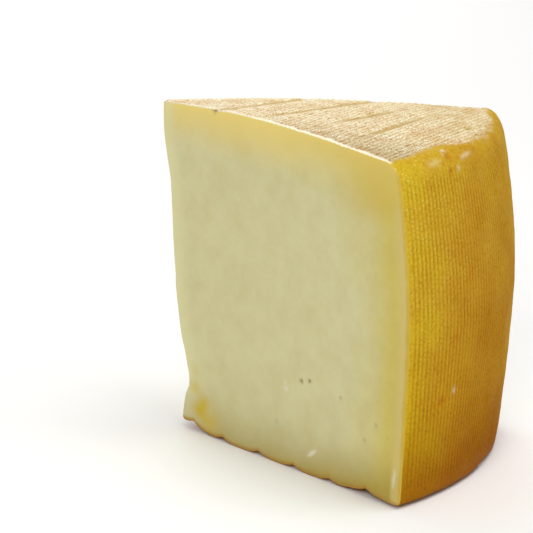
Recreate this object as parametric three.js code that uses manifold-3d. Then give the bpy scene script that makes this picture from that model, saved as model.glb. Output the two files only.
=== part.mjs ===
// A wedge of smoked sheep's milk cheese, cut with two strokes out of a pressed wheel.
// Millimetres, +Z up. The wheel's axis stands at the thin tip, and the rind faces +X.
// The tip comes from the middle of the wheel, the tall ribbed face is the wheel's rim, and the
// wide grooves of the base and the fine creases of the top are the print of the ripening rack.
import * as THREE from "three";
import { mergeVertices } from "three/addons/utils/BufferGeometryUtils.js";
import Module from "manifold-3d";

// The wheel
const WHEEL_RADIUS = 102.3; // at its widest
const WIDEST_HEIGHT = 40; // the rim bulges low, because the curd sags as it drains
const TOP_HEIGHT = 93.4; // at the axis and at the shoulder
const TOP_DRAW_IN = [8, 6.4]; // how far the rim has drawn in at the top, at the two cuts
const TOP_DRAW_CURVE = 2; // how late it draws in on the way up from the bulge
const BASE_DRAW_IN = [0.3, 4]; // and at the base
const BASE_DRAW_FROM = 48; // which starts this high
const BASE_DRAW_CURVE = 1.1;
const DRAW_FADE = 6; // how fast the drawing in fades from the rim towards the axis
const SHOULDER_RADIUS = 4.6; // rounding between top and rim
const HEEL_RADIUS = 2.2; // rounding between base and rim
const TOP_SWELL = [2.2, 1.4]; // the ring where the top stands highest, at the two cuts
const TOP_SWELL_SKEW = 0.9; // which moves the ring a little towards the axis
const BASE_TIP_LIFT = 3.2; // the base curls up towards the wheel's middle
const BASE_TIP_REACH = 34; // from this far out
const BASE_RING_LIFT = 1.15; // it has pulled up in a ring
const BASE_RING = [74, 87]; // between these distances
const BASE_RIM_LIFT = 0.7; // and lies lower again at the rim
const BASE_RIM = [90, 100];
const UNEVENNESS = 0.21; // slow waves left by the mould cloth
const WAVES = [[1, 3, 0.045], [0.6, 7, -0.08]]; // share, waves round the wheel, radians per mm of height

// The ribs that the mould cloth's cords print on the rim
const RIB_PITCH = 1.67;
const RIB_HEIGHT = 0.26;

// The ripening rack's print, whose bars ran square to the first cut
const BASE_NOTCHES = [17, 30, 45, 59.6, 74, 88.4]; // distances from the axis along the first cut
const BASE_NOTCH_DEPTH = 1.15;
const BASE_NOTCH_FLANK = 5.2; // reach of the hollow on each side, which leaves a flat strip between two
const BASE_NOTCH_RUN = [-10, 100]; // from before the first cut to past the rim
const TOP_CREASES = [25, 39.3, 54.6, 69.2];
const TOP_CREASE_RADIUS = 1.1;
const TOP_CREASE_DEPTH = 0.45;
const TOP_CREASE_RUN = [-8, 92];

// The two cuts
const WEDGE_ANGLE = THREE.MathUtils.degToRad(53);
const TIP_RADIUS = 1.8; // the thin edge is soft and has rounded off
const TIP_LINE = [ // height, and how far in from the wheel's axis the thin edge stands there
  [-10, 13], [0, 13], [8, 13.9], [13.5, 15.6], [20, 14.1], [26, 11.8], [35, 9.4], [46, 7.8],
  [55, 6.5], [63, 5.6], [71, 4.6], [78, 2.9], [84, 1.3], [94, 0.7], [110, 0.7],
];
const RIM_LEAN = 5.5; // how far the second cut has run in at the rim by the time it meets the base

// How finely the faces are divided
const TOP_RINGS = 9;
const SHOULDER_STEPS = 5;
const HEEL_STEPS = 3;
const WALL_STEPS = 5;
const DISC_STRIPS = 144;
const BASE_RINGS = [98, 94, 90, 86, 82, 78, 74, 34, 27, 20, 13, 6, 0];
const SLEEVE_STEPS = 11;
const NOTCH_STEPS = 11;
const CREASE_POINTS = 11;
const CREASE_STEPS = 12;
const CUT_STEPS = 18;
const REACH = 150; // the cutter runs past the wheel
const OVERRUN = 10; // above and below it too
const SLEEVE_OVERRUN = 6;
const CLEARANCE = 3; // and the disc stands out past the ribs
const WALL_GAP = 2; // height over which it steps out
const SAME = 1e-6; // two places this close are one

const wasm = await Module();
wasm.setup();

/** A closed three.js geometry as a solid for booleans. */
function solidOf(geometry) {
  const bare = geometry.index ? geometry.toNonIndexed() : geometry.clone();
  bare.deleteAttribute("normal");
  bare.deleteAttribute("uv");
  const merged = mergeVertices(bare, 1e-4);
  return new wasm.Manifold(
    new wasm.Mesh({
      numProp: 3,
      vertProperties: merged.attributes.position.array,
      triVerts: new Uint32Array(merged.index.array),
    }),
  );
}

/** A solid back as a three.js geometry with flat shaded faces. */
function geometryOf(solid) {
  const made = solid.getMesh();
  const position = new Float32Array(made.numVert * 3);
  for (let i = 0; i < made.numVert; i++) {
    const start = i * made.numProp;
    position.set(made.vertProperties.subarray(start, start + 3), i * 3);
  }
  const geometry = new THREE.BufferGeometry();
  geometry.setAttribute("position", new THREE.BufferAttribute(position, 3));
  geometry.setIndex(new THREE.BufferAttribute(new Uint32Array(made.triVerts), 1));
  const faceted = geometry.toNonIndexed();
  faceted.computeVertexNormals();
  return faceted;
}

/** Moves each vertex of a geometry to what the given function makes of it. */
function reshape(geometry, move) {
  const position = geometry.attributes.position;
  const point = new THREE.Vector3();
  for (let i = 0; i < position.count; i++) {
    move(point.fromBufferAttribute(position, i));
    position.setXYZ(i, point.x, point.y, point.z);
  }
  return geometry;
}

const { clamp, lerp, smoothstep } = THREE.MathUtils;

/** Where an angle about the axis lies between the first cut, 0, and the second, 1. */
function betweenCuts(angle) {
  const turned = Math.sin(angle) / Math.sin(WEDGE_ANGLE / 2);
  return clamp(0.5 + 0.5 * turned, 0, 1);
}

/** How far the rim has drawn in from its widest, at a height and an angle about the axis. */
function drawIn(z, angle) {
  const across = betweenCuts(angle);
  const up = Math.max(0, z - WIDEST_HEIGHT) / (TOP_HEIGHT - WIDEST_HEIGHT);
  const down = Math.max(0, BASE_DRAW_FROM - z) / BASE_DRAW_FROM;
  const top = lerp(...TOP_DRAW_IN, across) * up ** TOP_DRAW_CURVE;
  return top + lerp(...BASE_DRAW_IN, across) * down ** BASE_DRAW_CURVE;
}

/** How far the top stands above the shoulder's height at a distance from the axis. */
function topSwell(r, angle) {
  const flat = WHEEL_RADIUS - TOP_DRAW_IN[0] - SHOULDER_RADIUS;
  const share = clamp(r / flat, 0, 1) ** TOP_SWELL_SKEW;
  return lerp(...TOP_SWELL, betweenCuts(angle)) * Math.sin(Math.PI * share);
}

/** Height of the base at a distance from the axis: flat where it stands, lifting at both ends. */
function baseHeight(r) {
  const tip = BASE_TIP_LIFT * (1 - smoothstep(r, 0, BASE_TIP_REACH));
  const ring = BASE_RING_LIFT * smoothstep(r, ...BASE_RING);
  return tip + ring + (BASE_RIM_LIFT - BASE_RING_LIFT) * smoothstep(r, ...BASE_RIM);
}

/** Half of the disc's outline, from the axis over the top and down the rim to the axis. */
function discProfile() {
  const points = [];
  const add = (r, z) => points.push(new THREE.Vector2(r, z));
  const flat = WHEEL_RADIUS - SHOULDER_RADIUS;
  for (let i = 0; i < TOP_RINGS; i++) add((flat * i) / TOP_RINGS, TOP_HEIGHT);
  for (let i = 0; i <= SHOULDER_STEPS; i++) {
    const turned = ((Math.PI / 2) * i) / SHOULDER_STEPS;
    const spare = (RIB_HEIGHT * i) / SHOULDER_STEPS;
    const out = flat + spare + SHOULDER_RADIUS * Math.sin(turned);
    add(out, TOP_HEIGHT - SHOULDER_RADIUS * (1 - Math.cos(turned)));
  }
  const heel = baseHeight(WHEEL_RADIUS) + HEEL_RADIUS;
  const high = TOP_HEIGHT - SHOULDER_RADIUS - WALL_GAP;
  const low = heel + WALL_GAP;
  for (let i = 0; i <= WALL_STEPS; i++) {
    add(WHEEL_RADIUS + CLEARANCE, lerp(high, low, i / WALL_STEPS));
  }
  for (let i = 0; i <= HEEL_STEPS; i++) {
    const turned = ((Math.PI / 2) * i) / HEEL_STEPS;
    const out = WHEEL_RADIUS + RIB_HEIGHT - HEEL_RADIUS * (1 - Math.cos(turned));
    add(out, heel - HEEL_RADIUS * Math.sin(turned));
  }
  for (const r of BASE_RINGS) add(r, baseHeight(r));
  return points.reverse();
}

/** The smooth disc that the wheel's top, shoulder, heel and base come from. */
function disc() {
  const lathe = new THREE.LatheGeometry(discProfile(), DISC_STRIPS);
  lathe.rotateX(Math.PI / 2);
  reshape(lathe, (p) => {
    const r = Math.hypot(p.x, p.y);
    const angle = Math.atan2(p.y, p.x);
    const drawn = drawIn(p.z, angle) * (r / WHEEL_RADIUS) ** DRAW_FADE;
    const kept = r < SAME ? 1 : 1 - drawn / r;
    p.x *= kept;
    p.y *= kept;
    if (p.z > TOP_HEIGHT - SAME) p.z += topSwell(r * kept, angle);
  });
  return solidOf(lathe);
}

/** The rim with the ribs that the cords of the mould cloth have pressed into it. */
function sleeve() {
  const ribs = Math.round((2 * Math.PI * WHEEL_RADIUS) / RIB_PITCH);
  const outline = new THREE.Shape();
  for (let i = 0; i < 2 * ribs; i++) {
    const angle = (Math.PI * i) / ribs;
    const r = WHEEL_RADIUS + (i % 2 ? -0.5 : 0.5) * RIB_HEIGHT;
    outline[i ? "lineTo" : "moveTo"](r * Math.cos(angle), r * Math.sin(angle));
  }
  outline.closePath();
  const band = new THREE.ExtrudeGeometry(outline, {
    depth: TOP_HEIGHT + 2 * SLEEVE_OVERRUN,
    steps: SLEEVE_STEPS,
    bevelEnabled: false,
  });
  band.translate(0, 0, -SLEEVE_OVERRUN);
  reshape(band, (p) => {
    const angle = Math.atan2(p.y, p.x);
    let wave = 0;
    for (const [share, round, climb] of WAVES) wave += share * Math.sin(round * angle + climb * p.z);
    const radius = WHEEL_RADIUS + UNEVENNESS * wave - drawIn(p.z, angle);
    p.x *= radius / WHEEL_RADIUS;
    p.y *= radius / WHEEL_RADIUS;
  });
  return solidOf(band);
}

/** Turns a shape built with +X along the first cut, and +Y square to it, into the wheel's frame. */
function alongFirstCut(geometry) {
  return geometry.rotateZ(-WEDGE_ANGLE / 2);
}

/** The print between two rack bars in the base: two hollow flanks that meet in a sharp groove. */
function baseNotch(distance) {
  const flank = BASE_NOTCH_FLANK;
  const below = -2 * BASE_NOTCH_DEPTH;
  const [start, end] = BASE_NOTCH_RUN;
  const outline = new THREE.Shape();
  outline.moveTo(-flank, below);
  outline.lineTo(-flank, 0);
  outline.quadraticCurveTo(-flank / 2, 0, 0, BASE_NOTCH_DEPTH);
  outline.quadraticCurveTo(flank / 2, 0, flank, 0);
  outline.lineTo(flank, below);
  outline.closePath();
  const bar = new THREE.ExtrudeGeometry(outline, {
    depth: end - start,
    steps: NOTCH_STEPS,
    bevelEnabled: false,
    curveSegments: 3,
  });
  bar.translate(0, 0, -end);
  bar.rotateX(Math.PI / 2);
  bar.translate(distance, 0, 0);
  reshape(bar, (p) => {
    p.z += baseHeight(Math.hypot(p.x, p.y));
  });
  return solidOf(alongFirstCut(bar));
}

/** One fine crease across the top: a round channel that follows the swell of the top. */
function topCrease(distance) {
  const points = [];
  for (let i = 0; i < CREASE_POINTS; i++) {
    const across = lerp(...TOP_CREASE_RUN, i / (CREASE_POINTS - 1));
    const angle = Math.atan2(across, distance) - WEDGE_ANGLE / 2;
    const height = TOP_HEIGHT + topSwell(Math.hypot(distance, across), angle);
    points.push(new THREE.Vector3(distance, across, height + TOP_CREASE_RADIUS - TOP_CREASE_DEPTH));
  }
  const section = new THREE.Shape();
  section.absarc(0, 0, TOP_CREASE_RADIUS, 0, 2 * Math.PI);
  const channel = new THREE.ExtrudeGeometry(section, {
    steps: CREASE_STEPS,
    bevelEnabled: false,
    curveSegments: 4,
    extrudePath: new THREE.CatmullRomCurve3(points),
  });
  return solidOf(alongFirstCut(channel));
}

/** How far in from the wheel's axis the thin edge stands, on a smooth curve through TIP_LINE. */
const tipLine = new THREE.CubicInterpolant(TIP_LINE.map(([z]) => z), TIP_LINE.map(([, inset]) => inset), 1);

/**
 * What the two cuts keep, with +X along the first cut: a prism whose first face is flat, whose
 * second face follows the leaning thin edge, and whose thin edge is round.
 */
function cutter() {
  const along = new THREE.Vector2(Math.cos(WEDGE_ANGLE), Math.sin(WEDGE_ANGLE));
  const inward = new THREE.Vector2(along.y, -along.x);
  const toCentre = TIP_RADIUS / Math.sin(WEDGE_ANGLE / 2);
  const outline = new THREE.Shape();
  outline.moveTo(REACH, 0);
  for (const reach of [REACH, WHEEL_RADIUS, WHEEL_RADIUS / 2]) {
    outline.lineTo(reach * along.x, reach * along.y);
  }
  outline.absarc(
    toCentre * Math.cos(WEDGE_ANGLE / 2),
    toCentre * Math.sin(WEDGE_ANGLE / 2),
    TIP_RADIUS,
    WEDGE_ANGLE + Math.PI / 2,
    (3 * Math.PI) / 2,
    false,
  );
  outline.closePath();
  const prism = new THREE.ExtrudeGeometry(outline, {
    depth: TOP_HEIGHT + 2 * OVERRUN,
    steps: CUT_STEPS,
    bevelEnabled: false,
    curveSegments: 6,
  });
  prism.translate(0, 0, -OVERRUN);
  reshape(prism, (p) => {
    const second = p.y / along.y;
    const first = p.x - second * along.x;
    const [inset] = tipLine.evaluate(p.z);
    const apex = new THREE.Vector2(inset - toCentre * Math.cos(WEDGE_ANGLE / 2), 0);
    const rim = along.clone().multiplyScalar(WHEEL_RADIUS);
    rim.addScaledVector(inward, RIM_LEAN * (1 - p.z / TOP_HEIGHT));
    const direction = rim.clone().sub(apex).divideScalar(WHEEL_RADIUS);
    const beyond = Math.max(0, second - WHEEL_RADIUS);
    p.x = apex.x + first + (second - beyond) * direction.x + beyond * along.x;
    p.y = (second - beyond) * direction.y + beyond * along.y;
  });
  return solidOf(alongFirstCut(prism));
}

/** The wedge: the wheel with the rack's print, and then the two cuts. */
function wedge() {
  let solid = disc().intersect(sleeve());
  for (const distance of BASE_NOTCHES) solid = solid.subtract(baseNotch(distance));
  for (const distance of TOP_CREASES) solid = solid.subtract(topCrease(distance));
  return solid.intersect(cutter());
}

const cheese = new THREE.Mesh(
  geometryOf(wedge()),
  new THREE.MeshStandardMaterial({ color: "#cdb86e", roughness: 0.55, metalness: 0 }),
);
cheese.name = "cheese_wedge";
cheese.geometry.computeBoundingBox();
const middle = cheese.geometry.boundingBox.getCenter(new THREE.Vector3());
cheese.position.set(-middle.x, -middle.y, -cheese.geometry.boundingBox.min.z);

const part = new THREE.Group();
part.add(cheese);

export default part;
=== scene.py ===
"""A wedge of smoked sheep's milk cheese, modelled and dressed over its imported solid.

Lengths are in millimetres until the wedge is settled in the row's frame. The wheel's axis stands at the
origin and +Z is up. Along follows the first cut outward, and across points from it into the cheese. An
angle is measured round the wheel from the middle of the wedge, towards the second cut, unless it is
called turned: then it starts at the first cut.
"""

import logging
import math
from dataclasses import dataclass
from enum import Enum, IntEnum

import bmesh
import bpy
from mathutils import Matrix, Vector, noise


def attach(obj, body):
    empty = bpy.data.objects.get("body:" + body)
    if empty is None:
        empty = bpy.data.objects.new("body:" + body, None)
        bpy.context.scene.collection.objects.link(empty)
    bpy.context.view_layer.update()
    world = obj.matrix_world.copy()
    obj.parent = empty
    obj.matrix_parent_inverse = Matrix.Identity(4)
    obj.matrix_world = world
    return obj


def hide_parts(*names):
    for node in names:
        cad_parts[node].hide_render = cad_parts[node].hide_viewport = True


logging.basicConfig(level=logging.INFO, format="%(message)s")
log = logging.getLogger("cheese")

MM = 0.001
SAME = 1e-6
MARK_SPREAD = 3.0
STREAK_TAPER = 0.6

Tree = bpy.types.NodeTree
Outputs = bpy.types.NodeOutputs
Socket = bpy.types.NodeSocket
Measures = dict[str, Socket]

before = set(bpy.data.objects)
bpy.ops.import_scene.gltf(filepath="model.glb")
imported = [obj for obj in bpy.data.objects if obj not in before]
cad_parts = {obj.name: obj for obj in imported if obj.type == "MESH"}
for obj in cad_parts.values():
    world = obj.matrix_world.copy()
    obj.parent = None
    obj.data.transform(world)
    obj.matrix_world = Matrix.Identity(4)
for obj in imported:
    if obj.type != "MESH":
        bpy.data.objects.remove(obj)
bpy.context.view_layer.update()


def lerp(start: float, end: float, share: float) -> float:
    """Returns the value a share of the way from start to end."""
    return start + (end - start) * share


def clamp(value: float, low: float = 0.0, high: float = 1.0) -> float:
    """Returns the value held between low and high."""
    return max(low, min(high, value))


def ease(value: float, low: float, high: float) -> float:
    """Returns 0 below low, 1 above high, and a smooth step between them."""
    share = clamp((value - low) / (high - low))
    return share * share * (3 - 2 * share)


def linear(colour: str) -> tuple[float, float, float, float]:
    """Turns an sRGB hex colour into the linear values that a shader takes.

    Args:
        colour: Six hex digits after a hash.

    Returns:
        Linear red, green and blue, and an alpha of 1.
    """
    shares = [int(colour[i:i + 2], 16) / 255 for i in (1, 3, 5)]
    values = [s / 12.92 if s <= 0.04045 else ((s + 0.055) / 1.055) ** 2.4 for s in shares]
    return (*values, 1.0)


@dataclass(frozen=True)
class Wheel:
    """The pressed wheel that the wedge was cut from.

    A pair is a size at the first cut and at the second, or where a change starts and where it ends.
    """

    radius: float = 102.3
    widest_height: float = 40.0
    top_height: float = 93.4
    top_draw_in: tuple[float, float] = (8.0, 6.4)
    top_draw_curve: float = 2.0
    base_draw_in: tuple[float, float] = (0.3, 4.0)
    base_draw_from: float = 48.0
    base_draw_curve: float = 1.1
    shoulder_radius: float = 4.6
    heel_radius: float = 2.2
    top_swell: tuple[float, float] = (2.2, 1.4)
    top_swell_skew: float = 0.9
    base_tip_lift: float = 3.2
    base_tip_reach: float = 34.0
    base_ring_lift: float = 1.15
    base_ring: tuple[float, float] = (74.0, 87.0)
    base_rim_lift: tuple[float, float] = (0.7, 0.25)
    base_rim_change: tuple[float, float] = (0.1, 0.5)
    base_rim: tuple[float, float] = (90.0, 100.0)
    unevenness: float = 0.21
    waves: tuple[tuple[float, float, float], ...] = ((1.0, 3.0, 0.045), (0.6, 7.0, -0.08))
    angle: float = math.radians(53)

    def between_cuts(self, angle: float) -> float:
        """Returns 0 at the first cut's angle, 1 at the second's, and a share between them."""
        return clamp(0.5 + 0.5 * math.sin(angle) / math.sin(self.angle / 2))

    def rim_radius(self, z: float, angle: float) -> float:
        """Returns the rim's distance from the axis at a height and an angle."""
        across = self.between_cuts(angle)
        up = max(0.0, z - self.widest_height) / (self.top_height - self.widest_height)
        down = max(0.0, self.base_draw_from - z) / self.base_draw_from
        drawn = lerp(*self.top_draw_in, across) * up ** self.top_draw_curve
        drawn += lerp(*self.base_draw_in, across) * down ** self.base_draw_curve
        wave = sum(share * math.sin(turns * angle + climb * z) for share, turns, climb in self.waves)
        return self.radius - drawn + self.unevenness * wave

    def swell(self, r: float, angle: float) -> float:
        """Returns how far the top stands above the shoulder's height."""
        flat = self.radius - self.top_draw_in[0] - self.shoulder_radius
        share = clamp(r / flat) ** self.top_swell_skew
        return lerp(*self.top_swell, self.between_cuts(angle)) * math.sin(math.pi * share)

    def lift(self, r: float, angle: float) -> float:
        """Returns how far the base stands above the board, at a distance from the axis and an angle."""
        tip = self.base_tip_lift * (1 - ease(r, 0, self.base_tip_reach))
        ring = self.base_ring_lift * ease(r, *self.base_ring)
        rim = lerp(*self.base_rim_lift, ease(self.between_cuts(angle), *self.base_rim_change))
        return tip + ring + (rim - self.base_ring_lift) * ease(r, *self.base_rim)


@dataclass(frozen=True)
class Cuts:
    """The two strokes of the wire, and the thin edge where they meet."""

    wheel: Wheel
    tip_radius: float = 1.8
    rim_lean: float = 5.5
    tip_line: tuple[tuple[float, float], ...] = (
        (-10, 13), (0, 13), (8, 13.9), (13.5, 15.6), (20, 14.1), (26, 11.8), (35, 9.4), (46, 7.8),
        (55, 6.5), (63, 5.6), (71, 4.6), (78, 2.9), (84, 1.3), (94, 0.7), (110, 0.7),
    )

    def inset(self, z: float) -> float:
        """Returns how far in from the axis the thin edge stands at a height, on a smooth curve."""
        line = self.tip_line
        i = next(k for k in range(1, len(line)) if z <= line[k][0] or k == len(line) - 1)
        (z0, v0), (z1, v1) = line[i - 1], line[i]
        before = line[max(0, i - 2)]
        after = line[min(len(line) - 1, i + 1)]
        slope0 = (v1 - before[1]) / (z1 - before[0])
        slope1 = (after[1] - v0) / (after[0] - z0)
        span = z1 - z0
        t = clamp((z - z0) / span)
        h00 = (1 + 2 * t) * (1 - t) ** 2
        h10 = t * (1 - t) ** 2
        return h00 * v0 + h10 * span * slope0 + (1 - h00) * v1 - t * t * (1 - t) * span * slope1

    def section(self, z: float) -> "Section":
        """Returns the plan section at a height."""
        half = self.wheel.angle / 2
        reach = self.tip_radius / math.tan(half)
        inset = self.inset(z)
        apex = Vector((inset - reach, 0))
        second = Vector((math.cos(self.wheel.angle), math.sin(self.wheel.angle)))
        inward = Vector((second.y, -second.x))
        lean = self.rim_lean * (1 - z / self.wheel.top_height)
        direction = (second * self.wheel.radius + inward * lean - apex) / self.wheel.radius
        return Section(self.wheel, z, self.tip_radius, apex, direction, second)


@dataclass
class Section:
    """The wedge's outline at one height, on the along and across axes.

    The apex is where the two cuts would meet if the thin edge weren't round. Direction is the leaning
    second cut's way out from it, and second the way that it would run without its lean.
    """

    wheel: Wheel
    z: float
    tip: float
    apex: Vector
    direction: Vector
    second: Vector
    passes: int = 4

    def __post_init__(self) -> None:
        """Works out the rim's two corners. Each pass comes closer to the second one."""
        wheel, half = self.wheel, self.wheel.angle / 2
        self.first_rim = Vector((wheel.rim_radius(self.z, -half), 0))
        reach = wheel.radius
        for _ in range(self.passes):
            corner = self.apex + self.direction * reach
            reach += wheel.rim_radius(self.z, math.atan2(corner.y, corner.x) - half) - corner.length
        self.second_rim = self.apex + self.direction * reach
        self.sweep = math.atan2(self.second_rim.y, self.second_rim.x)

    def nose(self, b: float) -> Vector:
        """Returns a point of the thin edge's round, from the first cut, 0, to the second, 1."""
        half = self.wheel.angle / 2
        centre = self.tip / math.sin(half)
        turn = -math.pi / 2 - b * (math.pi - self.wheel.angle)
        x = centre * math.cos(half) + self.tip * math.cos(turn)
        y = centre * math.sin(half) + self.tip * math.sin(turn)
        second = y / self.second.y
        first = x - second * self.second.x
        return Vector((self.apex.x + first + second * self.direction.x, second * self.direction.y))

    def rim(self, b: float) -> Vector:
        """Returns a point of the rim, from the first cut, 0, to the second, 1."""
        turned = b * self.sweep
        radius = self.wheel.rim_radius(self.z, turned - self.wheel.angle / 2)
        return Vector((radius * math.cos(turned), radius * math.sin(turned)))

    def point(self, a: float, b: float) -> Vector:
        """Returns the point a share a of the way to the rim, and a share b from cut to cut."""
        first = self.nose(0).lerp(self.first_rim, a)
        second = self.nose(1).lerp(self.second_rim, a)
        outer = self.nose(b).lerp(self.rim(b), a)
        flat = self.nose(0).lerp(self.nose(1), b).lerp(self.rim(0).lerp(self.rim(1), b), a)
        return first.lerp(second, b) + outer - flat


class Skin(IntEnum):
    """What a face of the wedge shows. The values are its material slots."""

    PASTE = 0
    RIND = 1


@dataclass(frozen=True)
class Crease:
    """A soft crease that a rack bar left across the top, square to the first cut or nearly so."""

    along: float
    slant: float
    strong_from: float
    strong_to: float
    fade: float = 8.0
    faint: float = 0.35

    def depth(self, along: float, across: float, width: float) -> float:
        """Returns how deep the crease is at a place, as a share of the deepest."""
        off = (along - self.along - self.slant * across) / width
        strong = ease(across, self.strong_from - self.fade, self.strong_from)
        strong *= 1 - ease(across, self.strong_to, self.strong_to + self.fade)
        return lerp(self.faint, 1.0, strong) * math.exp(-off * off)


@dataclass(frozen=True)
class RackPrint:
    """The marks that the bars of the ripening rack left, square to the first cut."""

    notches: tuple[float, ...] = (17, 30, 45, 59.6, 74, 88.4)
    notch_depth: float = 1.15
    notch_flank: float = 5.2
    creases: tuple[Crease, ...] = (
        Crease(23.8, 0.0, 0, 30), Crease(38.8, -0.055, 12, 49), Crease(56.5, -0.16, 24, 38),
        Crease(74.0, -0.33, 20, 38),
    )
    notch_fade: float = 7.0
    crease_depth: float = 0.3
    crease_width: float = 1.0
    crease_from: tuple[float, float] = (89.0, 92.8)

    def groove(self, along: float) -> float:
        """Returns how far the base is pressed up between two bars, at a place along the first cut."""
        reaches = [1 - abs(along - notch) / self.notch_flank for notch in self.notches]
        return self.notch_depth * max(0.0, *reaches) ** 2

    def crease(self, along: float, across: float) -> float:
        """Returns how deep the top is creased at a place, from 0 to 1."""
        return max(crease.depth(along, across, self.crease_width) for crease in self.creases)


@dataclass(frozen=True)
class ClothPrint:
    """The weave of the mould cloth: cords that left ribs down the rim and rows over the top.

    The ribs come up from the foot, stop under the shoulder, inside the rim and beside the cuts, and are
    pressed more deeply in some places than in others.
    """

    ribs: int = 57
    rib_height: float = 0.26
    rib_foot: tuple[float, float] = (2.0, 7.0)
    rib_head: tuple[float, float] = (85.0, 91.0)
    rib_inside: tuple[float, float] = (1.5, 3.5)
    rib_beside: tuple[float, float] = (0.4, 3.0)
    rib_press: tuple[float, float] = (0.8, 0.5)
    rib_press_spread: float = 9.0
    row_pitch: float = 1.67
    row_height: float = 0.14
    row_turn: float = math.radians(19.5)
    row_press: tuple[float, float] = (0.6, 0.8)
    row_press_spread: float = 5.0

    def rib(self, across: float) -> float:
        """Returns the rib's height at a share of the way from cut to cut, from -1 to 1."""
        return math.cos(2 * math.pi * self.ribs * across)

    def row(self, along: float, across: float) -> float:
        """Returns the row's height at a place on the top, from -1 to 1."""
        off = along * math.cos(self.row_turn) + across * math.sin(self.row_turn)
        return math.cos(2 * math.pi * off / self.row_pitch)

    def rib_share(self, point: Vector, out: float, beside: float) -> float:
        """Works out how strongly the ribs are pressed.

        Args:
            point: The place, along, across and up.
            out: Its distance from the rim.
            beside: Its distance from the nearest cut.

        Returns:
            0 where there are no ribs, and about 1 where they are plain.
        """
        share = ease(point.z, *self.rib_foot) * (1 - ease(point.z, *self.rib_head))
        share *= (1 - ease(out, *self.rib_inside)) * ease(beside, *self.rib_beside)
        steady, varied = self.rib_press
        return share * (steady + varied * noise.noise(point / self.rib_press_spread))


@dataclass(frozen=True)
class Mark:
    """One small mark on the cheese, round, or drawn out into a streak.

    Places are in millimetres: along the first cut, across from it, and up. Rise is how far the skin
    stands out there, stain how much the mark browns it, and tint how much it yellows it or paints
    olive shade into a dent, or, below zero, how much it bleaches it or paints a glint or highlight on it.
    Run is the way from one end of a streak to the other.
    """

    along: float
    across: float
    up: float
    size: float
    rise: float = 0.0
    stain: float = 0.0
    tint: float = 0.0
    run: tuple[float, float, float] = (0.0, 0.0, 0.0)

    def distance(self, point: Vector) -> float:
        """Returns how far a point is from the mark's middle, or from a streak's line, which tapers."""
        off = math.dist(point, (self.along, self.across, self.up))
        if self.run == (0.0, 0.0, 0.0) or off > math.hypot(*self.run) + MARK_SPREAD * self.size:
            return off
        start, run = Vector((self.along, self.across, self.up)), Vector(self.run)
        share = clamp((point - start).dot(run) / run.length_squared)
        return (point - start - run * share).length + STREAK_TAPER * self.size * (2 * share - 1) ** 2

    def reach(self, point: Vector) -> float:
        """Returns 1 at the mark's middle and 0 away from it."""
        off = self.distance(point) / self.size
        return math.exp(-off * off) if off < MARK_SPREAD else 0.0


def on_wheel(
    radius: float, turn: float, up: float, size: float, rise: float = 0.0, stain: float = 0.0,
    tint: float = 0.0, turn_on: float = 0.0, climb: float = 0.0,
) -> Mark:
    """Returns a mark that is placed round the wheel.

    Args:
        radius: The mark's distance from the wheel's axis.
        turn: Its angle in degrees from the middle of the wedge, towards the second cut.
        up: Its height.
        size: How far it spreads.
        rise: How far it stands out.
        stain: How much it browns the rind.
        tint: How much it yellows the rind or paints olive shade into a dent; below zero, how much it
            bleaches it or paints a glint or highlight on it.
        turn_on: How many degrees further round a streak ends.
        climb: How much higher it ends.

    Returns:
        The mark, placed along and across from the first cut.
    """
    start, end = (math.radians(angle) + Wheel.angle / 2 for angle in (turn, turn + turn_on))
    run = (radius * (math.cos(end) - math.cos(start)), radius * (math.sin(end) - math.sin(start)), climb)
    return Mark(radius * math.cos(start), radius * math.sin(start), up, size, rise, stain, tint, run)


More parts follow.
